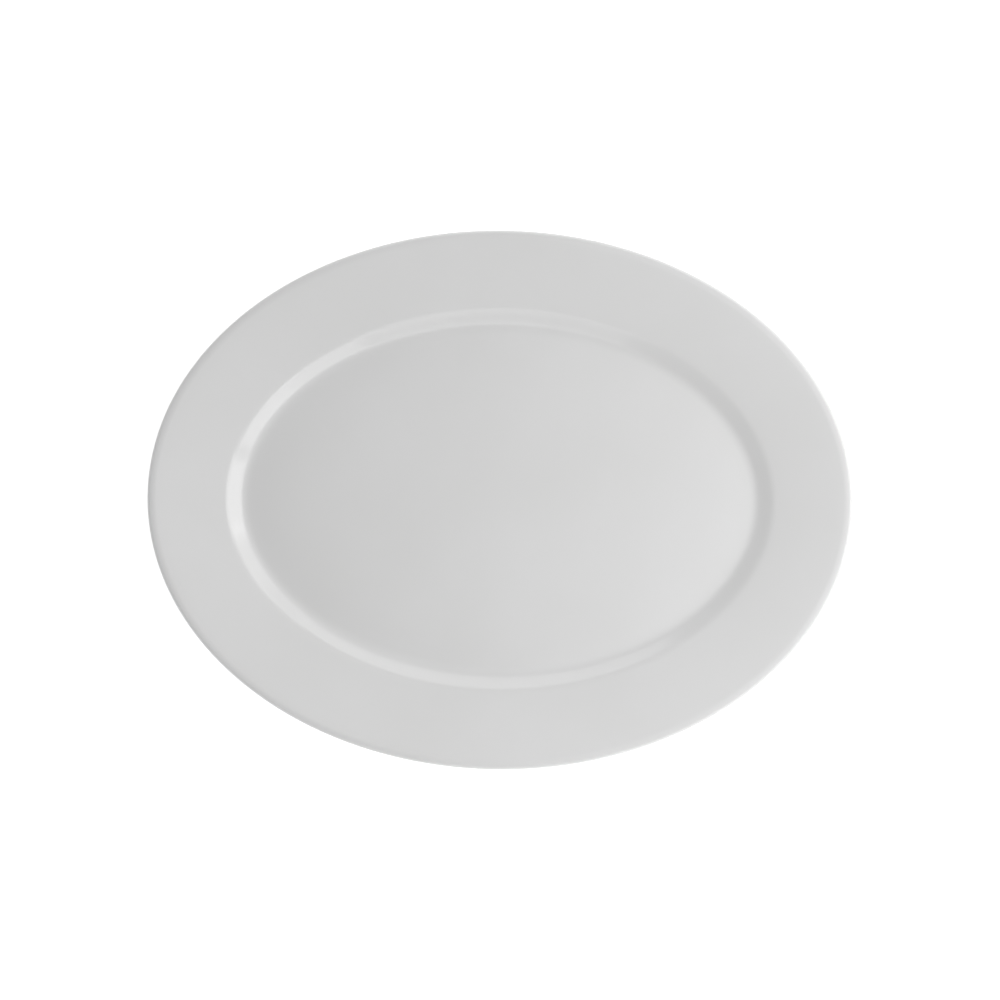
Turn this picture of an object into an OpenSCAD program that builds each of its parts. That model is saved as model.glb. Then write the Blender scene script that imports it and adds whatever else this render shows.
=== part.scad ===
// Oval china serving platter: a flat-rimmed porcelain body on a foot ring,
// with a clear glaze over everything but the band that the foot ring stands on.
//
// The outline is an oval of three radii, and one section is swept all the way round it.
// Section points are [inset, height]: inset runs inwards from the lip, height up from the table.

/* [Outline] */
// Length over the lip
platter_length = 380; // [370:2:390]
// Width over the lip
platter_width = 290.5; // [286:0.5:295]
// Radius of the outline round each end
end_radius = 115; // [112:1:117]

/* [Rim] */
// Thickness of the rim
rim_thickness = 4.4; // [4.2:0.1:4.8]
// Slope of the rim, down towards the well
rim_slope = 18; // [15:1:20]
// Radius of the soft roll along the top of the lip
lip_roll_radius = 8; // [7:0.5:9]
// Radius of the lip's outer edge
lip_edge_radius = 1.9; // [1.7:0.1:2]

/* [Well] */
// Inset at which the rim starts to fold down into the wall of the well
fold_inset = 41; // [40:0.5:41.5]
// Radius of that fold on the face
fold_radius = 8; // [6:0.5:9]
// Radius of that fold on the back
back_fold_radius = 9; // [8:0.5:10]
// Inset at which the wall has run out into the floor
floor_inset = 53; // [52.5:0.5:54]
// Radius between the wall and the floor
floor_radius = 6.5; // [6:0.5:7]
// Slope of the wall
wall_slope = 32; // [30:1:34]
// Thickness of the wall
wall_thickness = 5.2; // [5:0.1:5.6]
// Thickness of the floor
floor_thickness = 5; // [4.5:0.1:5.6]

/* [Foot ring] */
// Height of the floor's underside above the table
foot_height = 3.5; // [3.4:0.1:3.8]
// How far in from where the floor starts the middle of the foot ring is
foot_setback = 1; // [1:0.25:1.5]
// Width of the foot ring where its lower edges start to round
foot_width = 4.8; // [4.4:0.2:5.4]
// Radius of the foot ring's two lower edges
foot_edge_radius = 1.2; // [1:0.1:1.2]
// Lean of the foot ring's sides
foot_draft = 14; // [12:1:16]
// Radius between the foot ring and what is above it
foot_fillet = 1.6; // [1.2:0.2:1.6]
// Slope of the heel, where the back of the wall turns under towards the foot ring
heel_slope = 22; // [20:1:23]

/* [Glaze] */
// Thickness of the clear glaze
glaze_thickness = 0.3; // [0.2:0.05:0.4]

/* [Hidden] */
$fn = 180;
bisque_white = [0.90, 0.90, 0.89];
glaze_white = [0.97, 0.97, 0.97];
// The sweep stops short of the middle, and a flat slab fills what is left.
sweep_inset = 76;
slab_inset = 60;
// Angle between neighbouring points on a bend
bend_step = 10;

// ---- Outline: end, shoulder and side arcs, each tangent to the next ----
// Directions from an arc's centre to where it meets the next arc. Both are exact fractions.
end_break = [4, 3] / 5;
side_break = [44, 117] / 125;
// How much longer each radius is than the one before it, from the length and width wanted.
// The side step is in whole tenths, and the shoulder step makes up the exact length.
length_left = platter_length / 2 - end_radius;
width_left = platter_width / 2 - end_radius;
side_step_wanted = (length_left * (1 - end_break.y) - width_left * end_break.x)
    / (side_break.x * (1 - end_break.y) - end_break.x * (1 - side_break.y));
side_step = round(side_step_wanted * 10) / 10;
shoulder_step = (length_left - side_step * side_break.x) / end_break.x;
shoulder_radius = end_radius + shoulder_step;
side_radius = shoulder_radius + side_step;
end_centre = [length_left, 0];
shoulder_centre = end_centre - shoulder_step * end_break;
side_centre = shoulder_centre - side_step * side_break;

// ---- Section: straight runs joined by bends ----
// A run is [lean, reach]: the way its outside faces, as an angle from straight up towards the
// middle of the platter, and its distance from the section's origin in that direction.
function facing(lean) = [sin(lean), cos(lean)];
function run_through(point, lean) = [lean, point * facing(lean)];
// The other face of a wall of this thickness.
function back_of(run, thickness) = [run[0] - 180, thickness - run[1]];
// The point at this inset that lies this deep under a run's surface.
function point_under(run, depth, inset) =
    [inset, (run[1] - depth - inset * sin(run[0])) / cos(run[0])];
// The centre of a bend between two runs. A hollow bend has a negative radius.
function bend_centre(before, after, radius) =
    let (a = before[1] - radius, b = after[1] - radius, turn = sin(before[0] - after[0]))
    [a * cos(after[0]) - b * cos(before[0]), b * sin(before[0]) - a * sin(after[0])] / turn;
// Whole microns keep every sweep of the section exactly alike where two sweeps meet.
function whole_microns(point) = [round(point.x * 1000), round(point.y * 1000)] / 1000;
function bend_points(before, after, radius, grow) =
    let (steps = ceil(abs(after[0] - before[0]) / bend_step))
    [for (i = [0:steps]) whole_microns(bend_centre(before, after, radius)
        + (radius + grow) * facing(before[0] + (after[0] - before[0]) * i / steps))];

floor_height = foot_height + floor_thickness;
floor_face = [0, floor_height];
floor_centre = [floor_inset, floor_height + floor_radius];
wall_face = run_through(floor_centre - floor_radius * facing(wall_slope), wall_slope);
fold_centre = point_under(wall_face, fold_radius, fold_inset - fold_radius * sin(rim_slope));
rim_face = run_through(fold_centre + fold_radius * facing(rim_slope), rim_slope);
// The roll and the edge of the lip meet where the rim's thickness brings them together.
lip_reach = lip_roll_radius - lip_edge_radius;
lip_lean = rim_slope - acos((lip_roll_radius + lip_edge_radius - rim_thickness) / lip_reach);
roll_centre = point_under(rim_face, lip_roll_radius, lip_edge_radius - lip_reach * sin(lip_lean));
lip_break = run_through(roll_centre + lip_roll_radius * facing(lip_lean), lip_lean);
platter_height = roll_centre.y + lip_roll_radius;
foot_inset = floor_inset + foot_setback;
foot_outside = run_through([foot_inset - foot_width / 2, foot_edge_radius], -90 - foot_draft);
foot_inside = run_through([foot_inset + foot_width / 2, foot_edge_radius], -270 + foot_draft);
// The heel is struck from the same centre as the face above it.
heel_radius = floor_radius + wall_thickness;
heel_lean = heel_slope - 180;
heel = run_through(floor_centre + heel_radius * facing(heel_lean), heel_lean);
// The bare body stands on the table, so the glazed section would lie a glaze's thickness below it.
foot_band = [-180, glaze_thickness];
recess_ceiling = [-180, -foot_height];

runs = [recess_ceiling, foot_inside, foot_band, foot_outside, heel, back_of(wall_face, wall_thickness),
        back_of(rim_face, rim_thickness), lip_break, rim_face, wall_face, floor_face];
radii = [-foot_fillet, foot_edge_radius, foot_edge_radius, -foot_fillet, heel_radius,
         -back_fold_radius, lip_edge_radius, lip_roll_radius, fold_radius, -floor_radius];
FOOT_INSIDE_EDGE = 1;
FOOT_OUTSIDE_EDGE = 2;
LAST_BEND = len(radii) - 1;

function bend(i, grow) = bend_points(runs[i], runs[i + 1], radii[i], grow);
function bends(first, last, grow) = [for (i = [first:last]) each bend(i, grow)];
function first_point(points) = points[0];
function last_point(points) = points[len(points) - 1];
function reversed(points) = [for (i = [len(points) - 1:-1:0]) points[i]];

function recess_path(grow) = concat([[sweep_inset, foot_height - grow]],
    bend(0, grow), [first_point(bend(FOOT_INSIDE_EDGE, grow))]);
function coat_path(grow) = concat([last_point(bend(FOOT_OUTSIDE_EDGE, grow))],
    bends(FOOT_OUTSIDE_EDGE + 1, LAST_BEND, grow), [[sweep_inset, floor_height + grow]]);
function body_path(grow) = concat([[sweep_inset, foot_height - grow]],
    bends(0, LAST_BEND, grow), [[sweep_inset, floor_height + grow]]);
function skin(outside, inside) = concat(outside, reversed(inside));

// ---- Sweeps ----
// The section swept round one arc of the outline, between two directions from the arc's centre.
module sweep_arc(section, centre, radius, from, to) {
    reach = 2 * radius;
    intersection() {
        translate(centre) rotate_extrude()
            polygon([for (point = section) [radius - point.x, point.y]]);
        linear_extrude(platter_height + 1) polygon([centre, centre + reach * from, centre + reach * to]);
    }
}

module sweep_outline(section) {
    for (end = [0, 1]) mirror([end, 0]) {
        sweep_arc(section, end_centre, end_radius, [end_break.x, -end_break.y], end_break);
        for (side = [0, 1]) mirror([0, side])
            sweep_arc(section, shoulder_centre, shoulder_radius, end_break, side_break);
    }
    for (side = [0, 1]) mirror([0, side])
        sweep_arc(section, side_centre, side_radius, side_break, [-side_break.x, side_break.y]);
}

// One quarter of the slab's edge, whose corners lie under the outline's ends, breaks and sides.
function slab_quarter() = [
    end_centre + (end_radius - slab_inset) * [1, 0],
    end_centre + (end_radius - slab_inset) * end_break,
    side_centre + (side_radius - slab_inset) * side_break,
    side_centre + (side_radius - slab_inset) * [0, 1]];

module slab(bottom, top) {
    quarter = slab_quarter();
    right = concat(reversed([for (p = quarter) [p.x, -p.y]]), quarter);
    translate([0, 0, bottom]) linear_extrude(top - bottom)
        polygon(concat(right, reversed([for (p = right) [-p.x, p.y]])));
}

// ---- Sub-parts ----
module porcelain_body() {
    color(bisque_white) {
        sweep_outline(body_path(-glaze_thickness));
        slab(foot_height + glaze_thickness, floor_height - glaze_thickness);
    }
}

module glaze_coat() {
    color(glaze_white) {
        sweep_outline(skin(coat_path(0), coat_path(-glaze_thickness)));
        slab(floor_height - glaze_thickness, floor_height);
    }
}

module foot_recess_glaze() {
    color(glaze_white) {
        sweep_outline(skin(recess_path(0), recess_path(-glaze_thickness)));
        slab(foot_height, foot_height + glaze_thickness);
    }
}

porcelain_body();
glaze_coat();
foot_recess_glaze();
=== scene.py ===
"""An oval china serving platter, seen from straight above on a pale studio floor.

The porcelain body, the glaze over its face and back, and the glaze in its foot recess are rebuilt
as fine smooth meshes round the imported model. One section is swept round a true ellipse, at a
constant distance from the lip. Section points are (inset, height): inset runs inwards from the lip,
height up from the table. Sizes are in metres and angles in degrees, unless a comment says otherwise.
"""
import math

import bmesh
import bpy
import numpy as np
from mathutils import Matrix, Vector


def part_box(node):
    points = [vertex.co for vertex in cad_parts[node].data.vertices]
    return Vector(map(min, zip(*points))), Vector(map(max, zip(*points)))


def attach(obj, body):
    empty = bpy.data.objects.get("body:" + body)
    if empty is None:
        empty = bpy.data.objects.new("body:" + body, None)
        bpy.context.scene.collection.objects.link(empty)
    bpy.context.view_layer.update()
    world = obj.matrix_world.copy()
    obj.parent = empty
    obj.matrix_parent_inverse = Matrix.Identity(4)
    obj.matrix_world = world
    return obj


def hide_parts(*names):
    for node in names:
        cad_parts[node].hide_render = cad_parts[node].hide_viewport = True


MM = 0.001

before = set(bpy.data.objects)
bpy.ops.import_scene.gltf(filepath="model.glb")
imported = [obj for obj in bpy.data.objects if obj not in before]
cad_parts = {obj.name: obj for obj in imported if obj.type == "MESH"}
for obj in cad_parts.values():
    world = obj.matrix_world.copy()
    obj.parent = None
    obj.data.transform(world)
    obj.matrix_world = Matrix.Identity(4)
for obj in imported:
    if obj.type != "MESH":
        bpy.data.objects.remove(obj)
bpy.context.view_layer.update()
# Half the platter's length, half its width, and the height of its lip
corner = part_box("glaze_coat")[1]

# ---- Section of the platter, with the CAD model's own sizes ----
RIM_THICKNESS = 4.4 * MM
RIM_SLOPE = 18.0
LIP_ROLL_RADIUS = 8.0 * MM
LIP_EDGE_RADIUS = 1.9 * MM
FOLD_INSET = 41.0 * MM
FOLD_RADIUS = 8.0 * MM
BACK_FOLD_RADIUS = 9.0 * MM
FLOOR_INSET = 53.0 * MM
FLOOR_RADIUS = 6.5 * MM
WALL_SLOPE = 32.0
WALL_THICKNESS = 5.2 * MM
FLOOR_THICKNESS = 5.0 * MM
FOOT_HEIGHT = 3.5 * MM
FOOT_SETBACK = 1.0 * MM
FOOT_WIDTH = 4.8 * MM
FOOT_EDGE_RADIUS = 1.2 * MM
FOOT_DRAFT = 14.0
FOOT_FILLET = 1.6 * MM
HEEL_SLOPE = 22.0
GLAZE = 0.3 * MM
FOOT_INSET = FLOOR_INSET + FOOT_SETBACK

# ---- What forming and firing do to those sizes ----
# The floor rises a little from its edge towards the middle.
CROWN = 1.1 * MM
CROWN_START = 50.0 * MM
CROWN_REACH = 14.0 * MM
# The lip rises and falls as a shallow saddle.
WARP = 0.2 * MM
WARP_PHASE = 0.6  # radians
# The bends of the face are eased into the runs beside them.
EASE_STEP = 1.0 * MM
EASE_PASSES = 3
# The glaze lines on the foot ring were wiped by hand: (waves round the ring, share, phase in radians).
GLAZE_LINE_RISE = 0.5 * MM
GLAZE_LINE_WAVES = ((3, 0.35, 0.4), (7, 0.3, 1.9), (16, 0.2, 4.1), (31, 0.15, 2.6))
GLAZE_LINE_REACH = 2.0 * MM

# ---- Mesh density ----
AROUND = 360
# Turn from one point to the next on a bend, and length between points on a run
BEND_STEP = 6.0
RUN_STEP = 2.5 * MM
# An eased line keeps every point where it turns by more than this from one to the next.
KEPT_TURN = 0.5
# Steps round the bead that ends a skin of glaze
BEAD_STEPS = 4
# An even grid fills the middle, from this inset on.
DISC_INSET = 90.0 * MM
# Points closer than this are one point.
SAME_POINT = 0.001 * MM


# ---- Section: straight runs joined by bends ----
def facing(lean):
    """Unit vector of a surface that leans this far from straight up towards the middle."""
    return np.array([math.sin(math.radians(lean)), math.cos(math.radians(lean))])


def run_through(point, lean):
    """A straight run: the way its outside faces, and its distance from the origin that way."""
    return lean, float(np.dot(point, facing(lean)))


def back_of(run, thickness):
    """The other face of a wall of this thickness."""
    return run[0] - 180.0, thickness - run[1]


def point_under(run, depth, inset):
    """The point at this inset that lies this deep under a run's surface."""
    way = facing(run[0])
    return np.array([inset, (run[1] - depth - inset * way[0]) / way[1]])


def bend_centre(before, after, radius):
    """Where a bend between two runs is struck from. A hollow bend has a negative radius."""
    rows = np.array([facing(before[0]), facing(after[0])])
    return np.linalg.solve(rows, [before[1] - radius, after[1] - radius])


def section_runs():
    """The runs and the bends between them, from the recess round the foot, back and lip to the face."""
    floor_height = FOOT_HEIGHT + FLOOR_THICKNESS
    floor_centre = np.array([FLOOR_INSET, floor_height + FLOOR_RADIUS])
    wall_face = run_through(floor_centre - FLOOR_RADIUS * facing(WALL_SLOPE), WALL_SLOPE)
    fold_inset = FOLD_INSET - FOLD_RADIUS * facing(RIM_SLOPE)[0]
    fold_centre = point_under(wall_face, FOLD_RADIUS, fold_inset)
    rim_face = run_through(fold_centre + FOLD_RADIUS * facing(RIM_SLOPE), RIM_SLOPE)
    lip_reach = LIP_ROLL_RADIUS - LIP_EDGE_RADIUS
    closing = (LIP_ROLL_RADIUS + LIP_EDGE_RADIUS - RIM_THICKNESS) / lip_reach
    lip_lean = RIM_SLOPE - math.degrees(math.acos(closing))
    roll_inset = LIP_EDGE_RADIUS - lip_reach * facing(lip_lean)[0]
    roll_centre = point_under(rim_face, LIP_ROLL_RADIUS, roll_inset)
    lip_break = run_through(roll_centre + LIP_ROLL_RADIUS * facing(lip_lean), lip_lean)
    half_foot = FOOT_WIDTH / 2
    foot_outside = run_through([FOOT_INSET - half_foot, FOOT_EDGE_RADIUS], -90 - FOOT_DRAFT)
    foot_inside = run_through([FOOT_INSET + half_foot, FOOT_EDGE_RADIUS], -270 + FOOT_DRAFT)
    heel_radius = FLOOR_RADIUS + WALL_THICKNESS
    heel_lean = HEEL_SLOPE - 180
    heel = run_through(floor_centre + heel_radius * facing(heel_lean), heel_lean)
    runs = [(-180.0, -FOOT_HEIGHT), foot_inside, (-180.0, GLAZE), foot_outside, heel,
            back_of(wall_face, WALL_THICKNESS), back_of(rim_face, RIM_THICKNESS),
            lip_break, rim_face, wall_face, (0.0, floor_height)]
    radii = [-FOOT_FILLET, FOOT_EDGE_RADIUS, FOOT_EDGE_RADIUS, -FOOT_FILLET, heel_radius,
             -BACK_FOLD_RADIUS, LIP_EDGE_RADIUS, LIP_ROLL_RADIUS, FOLD_RADIUS, -FLOOR_RADIUS]
    return runs, radii


RUNS, RADII = section_runs()
# Places in the list of runs
FOOT_INSIDE, FOOT_OUTSIDE = 1, 3
# Places in the list of bends
RECESS_FILLET, FOOT_INSIDE_EDGE, FOOT_OUTSIDE_EDGE, BACK_FILLET = range(4)
LIP_ROLL, FOLD, FLOOR_BEND = range(7, 10)


def bend(i, grow):
    """Points round bend i of the section, grown by this much."""
    before, after, radius = RUNS[i], RUNS[i + 1], RADII[i]
    steps = max(2, math.ceil(abs(after[0] - before[0]) / BEND_STEP))
    centre = bend_centre(before, after, radius)
    leans = np.linspace(before[0], after[0], steps + 1)
    return [centre + (radius + grow) * facing(lean) for lean in leans]


def bends(first, last, grow):
    """Points round a row of bends, one after the other."""
    return [point for i in range(first, last + 1) for point in bend(i, grow)]


def fill_runs(points):
    """Adds points along the straight runs, and drops points that repeat."""
    out = [points[0]]
    for here in points[1:]:
        gap = np.linalg.norm(here - out[-1])
        if gap < SAME_POINT:
            continue
        start = out[-1]
        steps = math.ceil(gap / RUN_STEP)
        out += [start + (here - start) * k / steps for k in range(1, steps + 1)]
    return out


def ease(points):
    """Spaces a line's points evenly, then eases its bends. The two ends stay put."""
    gaps = np.linalg.norm(np.diff(points, axis=0), axis=1)
    along = np.concatenate([[0.0], np.cumsum(gaps)])
    even = np.linspace(0.0, along[-1], round(along[-1] / EASE_STEP) + 1)
    line = np.column_stack([np.interp(even, along, np.array(points)[:, i]) for i in (0, 1)])
    for _ in range(EASE_PASSES):
        line[1:-1] = (line[:-2] + 2 * line[1:-1] + line[2:]) / 4
    return thin(line)


def thin(line):
    """Drops points where a line runs nearly straight."""
    leans = np.degrees(np.arctan2(*np.diff(line, axis=0).T))
    out = [line[0]]
    for here, before, after in zip(line[1:-1], leans, leans[1:]):
        if abs(after - before) > KEPT_TURN or np.linalg.norm(here - out[-1]) > RUN_STEP:
            out.append(here)
    return out + [line[-1]]


def recess_path(grow):
    """From the middle of the recess out to the inside of the foot ring."""
    middle = np.array([DISC_INSET, FOOT_HEIGHT - grow])
    return fill_runs([middle] + bend(RECESS_FILLET, grow) + bend(FOOT_INSIDE_EDGE, grow)[:1])


def coat_path(grow):
    """From the outside of the foot ring up the back, over the lip and down the face."""
    back = fill_runs(bend(FOOT_OUTSIDE_EDGE, grow)[-1:] + bends(BACK_FILLET, LIP_ROLL, grow))
    middle = np.array([DISC_INSET, FOOT_HEIGHT + FLOOR_THICKNESS + grow])
    return back[:-1] + ease([back[-1]] + bends(FOLD, FLOOR_BEND, grow) + [middle])


def coat_from_middle(grow):
    """The coat's path the other way round, from the middle of the face."""
    return coat_path(grow)[::-1]


def body_path():
    """All the way round the bare porcelain, from the recess to the face."""
    foot = bends(FOOT_INSIDE_EDGE, FOOT_OUTSIDE_EDGE, -GLAZE)
    return recess_path(-GLAZE) + foot[1:-1] + coat_path(-GLAZE)


def skin_path(path, edge_lean, edge):
    """Out along the inside of a skin of glaze, round the bead at its edge and back along the outside.

    path gives either side of the skin, from the middle to the edge.
    """
    way = facing(edge_lean)
    up = np.array([0.0, 1.0]) - way * way[1]
    up = up / np.linalg.norm(up)
    inside, outside = path(-GLAZE), path(0.0)
    turns = [math.pi / 2 * k / BEAD_STEPS for k in range(1, BEAD_STEPS)]
    bead = [edge + GLAZE * (math.sin(t) * way + (1 - math.cos(t)) * up) for t in turns]
    return inside + bead + [outside[-1] + GLAZE * up] + outside[-2::-1]


# ---- Sweeping the section round the ellipse ----
def outline(turns, inset):
    """Points at this inset from the ellipse, square to it."""
    cos, sin = np.cos(turns), np.sin(turns)
    nx, ny = corner.y * cos, corner.x * sin
    scale = inset / np.hypot(nx, ny)
    return corner.x * cos - nx * scale, corner.y * sin - ny * scale


def crown(inset):
    """How far the floor has risen at this inset."""
    past_edge = np.maximum(inset - CROWN_START, 0.0)
    return CROWN * (1 - np.exp(-(past_edge / CROWN_REACH) ** 2))


def fired(turns, inset, height):
    """The height of a point after firing."""
    on_face = height > FOOT_HEIGHT + FLOOR_THICKNESS / 2
    free = np.maximum(1 - inset / FLOOR_INSET, 0.0)
    return height + on_face * crown(inset) + WARP * free ** 2 * np.cos(2 * turns + WARP_PHASE)


def wiped(turns, inset, height):
    """Slides a point near a glaze line up the side of the foot ring, by how it was wiped."""
    wave = sum(share * np.sin(count * turns + phase) for count, share, phase in GLAZE_LINE_WAVES)
    near = np.clip(1 - (height - FOOT_EDGE_RADIUS) / GLAZE_LINE_REACH, 0.0, 1.0)
    rise = GLAZE_LINE_RISE * near * (1 + wave) / 2
    outwards = np.sign(inset - FOOT_INSET) * math.tan(math.radians(FOOT_DRAFT))
    return inset + rise * outwards, height + rise


def sweep(name, path, wavy):
    """A closed mesh: a path swept round the ellipse, with the middle of both its ends filled."""
    turns = 2 * math.pi * np.arange(AROUND) / AROUND
    verts = []
    faces = []
    for inset, height in path:
        if wavy:
            inset, height = wiped(turns, inset, height)
        x, y = outline(turns, inset)
        verts += list(zip(x, y, fired(turns, inset, height) + np.zeros(AROUND)))
    for ring in range(0, len(verts) - AROUND, AROUND):
        above = ring + AROUND
        for k in range(AROUND):
            after = (k + 1) % AROUND
            faces.append((ring + k, above + k, above + after, ring + after))
    last_ring = len(verts) - AROUND
    add_disc(verts, faces, 0, path[0][1])
    add_disc(verts, faces, last_ring, path[-1][1])
    return closed_mesh(name, verts, faces)


def add_disc(verts, faces, ring, height):
    """Fills a ring with an even grid of quads, by the map that carries a square onto a disc."""
    n = AROUND // 4
    index = {}
    for i in range(n + 1):
        for j in range(n + 1):
            u, v = 2 * i / n - 1, 2 * j / n - 1
            if abs(u) > abs(v):
                reach, turn = u, math.pi / 4 * v / u
            else:
                reach, turn = v, math.pi / 2 - math.pi / 4 * (u / v if v else 0.0)
            if reach < 0:
                reach, turn = -reach, turn + math.pi
            if i in (0, n) or j in (0, n):
                index[i, j] = ring + round(turn / (2 * math.pi) * AROUND) % AROUND
                continue
            x, y = outline(turn, DISC_INSET)
            index[i, j] = len(verts)
            verts.append((x * reach, y * reach, float(fired(turn, DISC_INSET, height))))
    for i in range(n):
        for j in range(n):
            faces.append((index[i, j], index[i + 1, j], index[i + 1, j + 1], index[i, j + 1]))


def closed_mesh(name, verts, faces):
    """A smooth-shaded object whose faces all point outwards."""
    mesh = bpy.data.meshes.new(name)
    mesh.from_pydata(verts, [], faces)
    work = bmesh.new()
    work.from_mesh(mesh)
    bmesh.ops.recalc_face_normals(work, faces=work.faces)
    work.to_mesh(mesh)
    work.free()
    mesh.polygons.foreach_set("use_smooth", [True] * len(mesh.polygons))
    obj = bpy.data.objects.new(name, mesh)
    bpy.context.scene.collection.objects.link(obj)
    return obj


# ---- Materials ----
GLAZE_SHADE = (0.803, 0.803, 0.800)
GLAZE_LIGHT = (0.826, 0.826, 0.826)
GLAZE_ROUGHNESS = (0.09, 0.14)
GLAZE_IOR = 1.5
CLOUD_SIZE = 70 * MM
GLOSS_SIZE = 25 * MM
WAVE_SIZE = 45 * MM
WAVE_DEPTH = 0.10 * MM
PEEL_SIZE = 4 * MM
PEEL_DEPTH = 0.004 * MM
BISQUE_SHADE = (0.72, 0.69, 0.63)
BISQUE_LIGHT = (0.82, 0.80, 0.76)
BISQUE_RUBBED = (0.56, 0.54, 0.50)
BISQUE_ROUGHNESS = (0.75, 0.6)
GRAIN_SIZE = 0.8 * MM
GRIT_DEPTH = 0.06 * MM
SCUFF_SIZE = 9 * MM
# The scuffs take up this span of their noise, at this strength.
SCUFF_START = 0.45
SCUFF_END = 0.65
SCUFF_STRENGTH = 0.8
# Heights above the table between which the rubbing fades out
RUB_START = 0.03 * MM
RUB_END = 0.25 * MM


def new_material(name):
    """A new material, its nodes, its shader and its place in the object."""
    mat = bpy.data.materials.new(name)
    mat.use_nodes = True
    tree = mat.node_tree
    place = tree.nodes.new("ShaderNodeTexCoord").outputs["Object"]
    return mat, tree, tree.nodes["Principled BSDF"], place


def noise(tree, place, size, detail):
    """Soft random patches about this size across, from 0 to 1."""
    node = tree.nodes.new("ShaderNodeTexNoise")
    node.inputs["Scale"].default_value = 1 / size
    node.inputs["Detail"].default_value = detail
    tree.links.new(place, node.inputs["Vector"])
    return node.outputs["Fac"]


def spread(tree, value, low, high, start=0.3, end=0.7):
    """Carries a value from its usual span onto another one."""
    node = tree.nodes.new("ShaderNodeMapRange")
    node.inputs["From Min"].default_value = start
    node.inputs["From Max"].default_value = end
    node.inputs["To Min"].default_value = low
    node.inputs["To Max"].default_value = high
    tree.links.new(value, node.inputs["Value"])
    return node.outputs["Result"]


def socket(sockets, identifier):
    """A mix node has a socket of the same name for every kind of data, so names don't tell them apart."""
    return next(s for s in sockets if s.identifier == identifier)


def blend(tree, factor, first, second):
    """A colour that goes from the first, a colour or a socket, to the second, a colour."""
    node = tree.nodes.new("ShaderNodeMix")
    node.data_type = "RGBA"
    if isinstance(first, bpy.types.NodeSocket):
        tree.links.new(first, socket(node.inputs, "A_Color"))
    else:
        socket(node.inputs, "A_Color").default_value = (*first, 1)
    socket(node.inputs, "B_Color").default_value = (*second, 1)
    tree.links.new(factor, socket(node.inputs, "Factor_Float"))
    return socket(node.outputs, "Result_Color")


def bump(tree, height, depth, under=None):
    """Raises the surface by up to this depth, on top of another bump."""
    node = tree.nodes.new("ShaderNodeBump")
    node.inputs["Strength"].default_value = 1.0
    node.inputs["Distance"].default_value = depth
    tree.links.new(height, node.inputs["Height"])
    if under:
        tree.links.new(under, node.inputs["Normal"])
    return node.outputs["Normal"]


def glaze_material():
    """Clear gloss glaze over white porcelain: faint clouds, a slow wave and fine orange peel."""
    mat, tree, shader, place = new_material("white_glaze")
    clouds = spread(tree, noise(tree, place, CLOUD_SIZE, detail=2), 0.0, 1.0)
    colour = blend(tree, clouds, GLAZE_SHADE, GLAZE_LIGHT)
    tree.links.new(colour, shader.inputs["Base Color"])
    gloss = spread(tree, noise(tree, place, GLOSS_SIZE, detail=3), *GLAZE_ROUGHNESS)
    tree.links.new(gloss, shader.inputs["Roughness"])
    shader.inputs["IOR"].default_value = GLAZE_IOR
    slow_wave = bump(tree, noise(tree, place, WAVE_SIZE, detail=1), WAVE_DEPTH)
    peel = bump(tree, noise(tree, place, PEEL_SIZE, detail=2), PEEL_DEPTH, slow_wave)
    tree.links.new(peel, shader.inputs["Normal"])
    return mat


def bisque_material():
    """Bare fired porcelain: a dry, finely gritty surface, greyed where it has rubbed on tables."""
    mat, tree, shader, place = new_material("bare_porcelain")
    grain = noise(tree, place, GRAIN_SIZE, detail=4)
    clean = blend(tree, spread(tree, grain, 0.0, 1.0), BISQUE_SHADE, BISQUE_LIGHT)
    scuffs = noise(tree, place, SCUFF_SIZE, detail=5)
    height = tree.nodes.new("ShaderNodeSeparateXYZ")
    tree.links.new(place, height.inputs["Vector"])
    low_down = spread(tree, height.outputs["Z"], 1.0, 0.0, RUB_START, RUB_END)
    strength = spread(tree, scuffs, 0.0, SCUFF_STRENGTH, SCUFF_START, SCUFF_END)
    rubbed = tree.nodes.new("ShaderNodeMath")
    rubbed.operation = "MULTIPLY"
    tree.links.new(low_down, rubbed.inputs[0])
    tree.links.new(strength, rubbed.inputs[1])
    colour = blend(tree, rubbed.outputs["Value"], clean, BISQUE_RUBBED)
    tree.links.new(colour, shader.inputs["Base Color"])
    tree.links.new(spread(tree, scuffs, *BISQUE_ROUGHNESS), shader.inputs["Roughness"])
    grit = bump(tree, grain, GRIT_DEPTH)
    tree.links.new(grit, shader.inputs["Normal"])
    return mat


# ---- The platter ----
inner_edge = recess_path(-GLAZE)[-1]
outer_edge = coat_path(-GLAZE)[0]
recess_skin = skin_path(recess_path, RUNS[FOOT_INSIDE][0], inner_edge)
coat_skin = skin_path(coat_from_middle, RUNS[FOOT_OUTSIDE][0], outer_edge)
porcelain = sweep("porcelain", body_path(), wavy=False)
glaze = sweep("glaze", coat_skin, wavy=True)
recess_glaze = sweep("recess_glaze", recess_skin, wavy=True)

white_glaze = glaze_material()
bare_porcelain = bisque_material()
for piece, node, slot, material in ((porcelain, "porcelain_body", "bisque", bare_porcelain),
                                    (glaze, "glaze_coat", "glaze", white_glaze),
                                    (recess_glaze, "foot_recess_glaze", "glaze", white_glaze)):
    piece.data.materials.append(material)
    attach(piece, "root")
    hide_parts(node)

# ---- Studio ----
WHITE = (1, 1, 1, 1)
FLOOR_REACH = 20.0
FLOOR_COLOUR = (0.9, 0.9, 0.9)
FLOOR_ROUGHNESS = 0.9
# How brightly the floor glows by itself: painted light, which hides the platter's cast shadow around it
FLOOR_GLOW = 0.65
# The painted glow fades out under the platter, which paints its contact shadow there. Both are shares of
# the way to the lip.
GLOW_START = 0.8
GLOW_END = 1.05
# The room dims between two heights of a unit vector that points into it.
HORIZON_GLOW = 1.0
DOME_GLOW = 0.37
DOME_START = 0.10
DOME_END = 0.35
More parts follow.
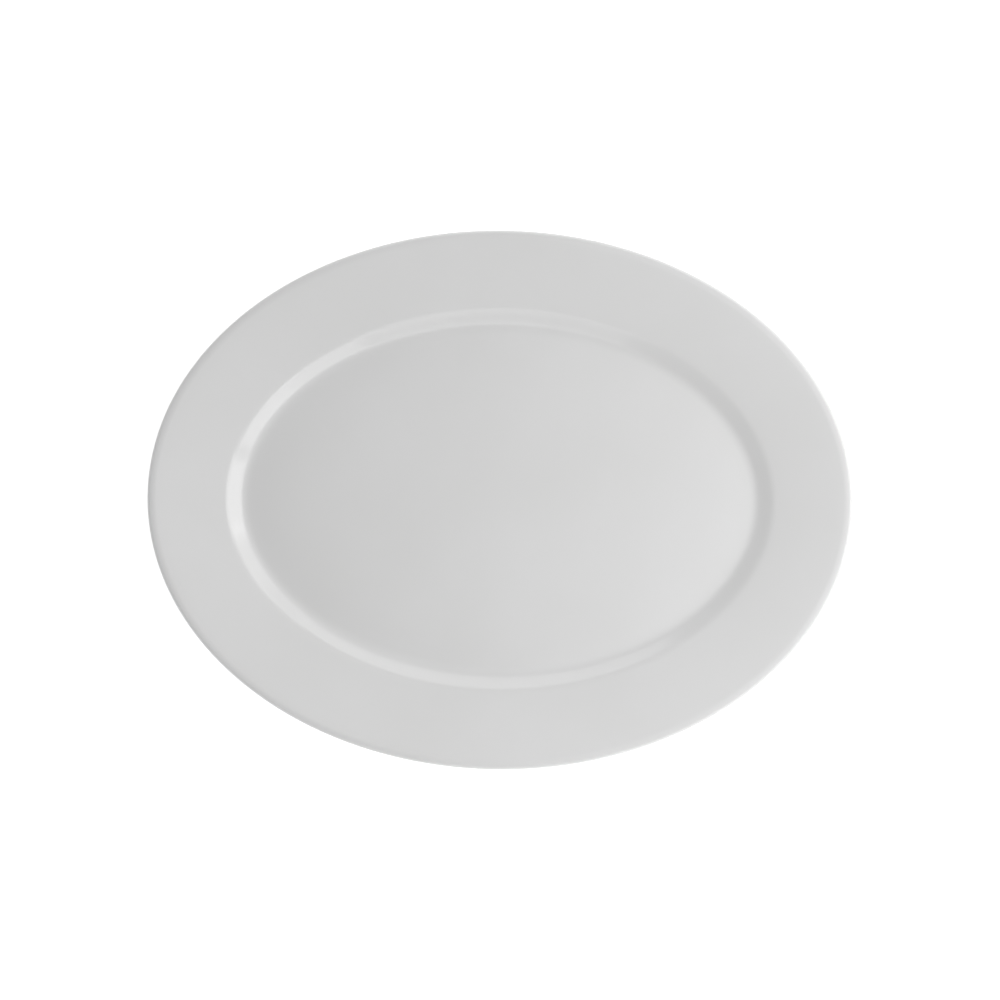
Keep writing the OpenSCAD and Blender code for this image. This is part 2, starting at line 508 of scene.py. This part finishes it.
# A bank of soft lights close on the right, and weaker ones all round.
# Each is: name, degrees round from the right, degrees up, distance, width, height, radiance.
SOFTBOXES = (
    ("bank_front", -50, 36, 0.62, 0.40, 0.20, 2.2),
    ("bank_middle", -5, 38, 0.62, 1.00, 0.44, 0.65),
    ("bank_back", 38, 38, 0.62, 0.40, 0.14, 1.3),
    ("bank_heart", 0, 38, 0.62, 0.45, 0.14, 0.8),
    ("right", 0, 40, 1.6, 0.9, 0.5, 1.9),
    ("back", 87, 28, 1.6, 1.6, 0.5, 1.6),
    ("front", 270, 40, 1.6, 0.9, 0.5, 1.15),
)


def studio_floor():
    """A pale floor with a painted glow of its own, which hides the platter's cast shadow around it and
    fades out under the platter into a painted contact shadow.
    """
    corners = [(-FLOOR_REACH, -FLOOR_REACH, 0), (FLOOR_REACH, -FLOOR_REACH, 0),
               (FLOOR_REACH, FLOOR_REACH, 0), (-FLOOR_REACH, FLOOR_REACH, 0)]
    mesh = bpy.data.meshes.new("floor")
    mesh.from_pydata(corners, [], [(0, 1, 2, 3)])
    floor = bpy.data.objects.new("floor", mesh)
    bpy.context.scene.collection.objects.link(floor)
    mat, tree, shader, place = new_material("pale_floor")
    shader.inputs["Base Color"].default_value = (*FLOOR_COLOUR, 1)
    shader.inputs["Roughness"].default_value = FLOOR_ROUGHNESS
    shader.inputs["Emission Color"].default_value = WHITE
    scaled = tree.nodes.new("ShaderNodeVectorMath")
    scaled.operation = "DIVIDE"
    scaled.inputs[1].default_value = (corner.x, corner.y, 1)
    tree.links.new(place, scaled.inputs[0])
    share = tree.nodes.new("ShaderNodeVectorMath")
    share.operation = "LENGTH"
    tree.links.new(scaled.outputs["Vector"], share.inputs[0])
    # Painted light: the floor glows except under the platter, where the missing glow paints a contact
    # shadow.
    glow = spread(tree, share.outputs["Value"], 0.0, FLOOR_GLOW, GLOW_START, GLOW_END)
    tree.links.new(glow, shader.inputs["Emission Strength"])
    mesh.materials.append(mat)


def studio_dome():
    """A pale room that is as bright as the floor at the horizon, and dimmer overhead."""
    world = bpy.data.worlds.new("studio")
    bpy.context.scene.world = world
    world.use_nodes = True
    tree = world.node_tree
    direction = tree.nodes.new("ShaderNodeTexCoord").outputs["Generated"]
    split = tree.nodes.new("ShaderNodeSeparateXYZ")
    tree.links.new(direction, split.inputs["Vector"])
    glow = spread(tree, split.outputs["Z"], HORIZON_GLOW, DOME_GLOW, DOME_START, DOME_END)
    background = tree.nodes["Background"]
    background.inputs["Color"].default_value = WHITE
    tree.links.new(glow, background.inputs["Strength"])


def softbox(name, turn, rise, distance, width, height, radiance):
    """A rectangular area light that faces the platter from this direction."""
    data = bpy.data.lights.new(name, "AREA")
    data.shape = "RECTANGLE"
    data.size = width
    data.size_y = height
    data.energy = radiance * math.pi * width * height
    lamp = bpy.data.objects.new(name, data)
    bpy.context.scene.collection.objects.link(lamp)
    turn, rise = math.radians(turn), math.radians(rise)
    across = distance * math.cos(rise)
    lamp.location = (across * math.cos(turn), across * math.sin(turn), distance * math.sin(rise))
    lamp.rotation_euler = (-Vector(lamp.location)).to_track_quat("-Z", "Y").to_euler()
    lamp.visible_camera = False


studio_floor()
studio_dome()
for box_settings in SOFTBOXES:
    softbox(*box_settings)

# ---- Camera: straight above, with the platter's length across the picture ----
# Width of the camera's sensor in millimetres, as Blender takes it
SENSOR = 36.0
# Width that the picture spans at the height of the lip
PICTURE_WIDTH = 0.5382
CAMERA_HEIGHT = 2.5
# The platter lies turned by this much in the picture.
ROLL = 0.63


def add_camera():
    """A camera that looks straight down on the middle of the platter."""
    data = bpy.data.cameras.new("camera")
    data.sensor_width = SENSOR
    data.lens = SENSOR * (CAMERA_HEIGHT - corner.z) / PICTURE_WIDTH
    camera = bpy.data.objects.new("camera", data)
    bpy.context.scene.collection.objects.link(camera)
    camera.location = (0.0, 0.0, CAMERA_HEIGHT)
    camera.rotation_euler = (0.0, 0.0, math.radians(ROLL))
    bpy.context.scene.camera = camera
    bpy.context.scene.view_settings.view_transform = "Standard"


add_camera()
